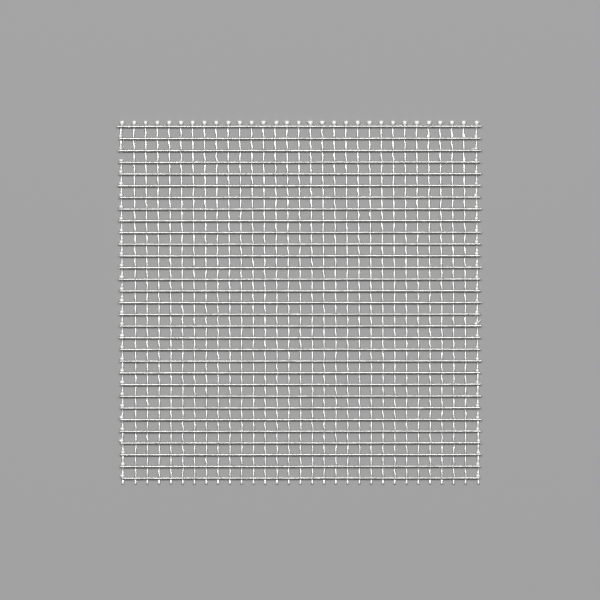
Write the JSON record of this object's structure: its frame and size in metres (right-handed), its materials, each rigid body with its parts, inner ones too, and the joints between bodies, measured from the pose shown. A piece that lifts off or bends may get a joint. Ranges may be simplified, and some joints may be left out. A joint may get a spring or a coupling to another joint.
{
  "type": "wire gauze square",
  "caption": "Flat square of wire gauze for the lab bench: straight cross wires welded over line wires, beaded along the top. Lies on a tripod or ring over a burner.",
  "frame": {"origin": "middle of the square's outline, on the surface that its underside lies on", "axes": "+Z out of the front, where the cross wires lie; +Y along the line wires towards their beaded ends; +X along the cross wires, with the broken side wire at -X"},
  "size_m": [0.126, 0.1258, 0.0015],
  "materials": {
    "galvanised_wire": "smooth, bright, slightly uneven zinc"
  },
  "bodies": {
    "root": {"top_and_bottom_cross_wires": "galvanised_wire", "side_line_wires": "galvanised_wire", "cross_wire_02": "galvanised_wire", "cross_wire_03": "galvanised_wire", "cross_wire_04": "galvanised_wire", "cross_wire_05": "galvanised_wire", "cross_wire_06": "galvanised_wire", "cross_wire_07": "galvanised_wire", "cross_wire_08": "galvanised_wire", "cross_wire_09": "galvanised_wire", "cross_wire_10": "galvanised_wire", "cross_wire_11": "galvanised_wire", "cross_wire_12": "galvanised_wire", "cross_wire_13": "galvanised_wire", "cross_wire_14": "galvanised_wire", "cross_wire_15": "galvanised_wire", "cross_wire_16": "galvanised_wire", "cross_wire_17": "galvanised_wire", "cross_wire_18": "galvanised_wire", "cross_wire_19": "galvanised_wire", "cross_wire_20": "galvanised_wire", "cross_wire_21": "galvanised_wire", "cross_wire_22": "galvanised_wire", "cross_wire_23": "galvanised_wire", "cross_wire_24": "galvanised_wire", "cross_wire_25": "galvanised_wire", "cross_wire_26": "galvanised_wire", "cross_wire_27": "galvanised_wire", "cross_wire_28": "galvanised_wire", "cross_wire_29": "galvanised_wire", "cross_wire_30": "galvanised_wire", "line_wire_02": "galvanised_wire", "line_wire_03": "galvanised_wire", "line_wire_04": "galvanised_wire", "line_wire_05": "galvanised_wire", "line_wire_06": "galvanised_wire", "line_wire_07": "galvanised_wire", "line_wire_08": "galvanised_wire", "line_wire_09": "galvanised_wire", "line_wire_10": "galvanised_wire", "line_wire_11": "galvanised_wire", "line_wire_12": "galvanised_wire", "line_wire_13": "galvanised_wire", "line_wire_14": "galvanised_wire", "line_wire_15": "galvanised_wire", "line_wire_16": "galvanised_wire", "line_wire_17": "galvanised_wire", "line_wire_18": "galvanised_wire", "line_wire_19": "galvanised_wire", "line_wire_20": "galvanised_wire", "line_wire_21": "galvanised_wire", "line_wire_22": "galvanised_wire", "line_wire_23": "galvanised_wire", "line_wire_24": "galvanised_wire", "line_wire_25": "galvanised_wire", "line_wire_26": "galvanised_wire", "line_wire_27": "galvanised_wire", "line_wire_28": "galvanised_wire", "line_wire_29": "galvanised_wire", "line_wire_30": "galvanised_wire"}
  },
  "joints": []
}
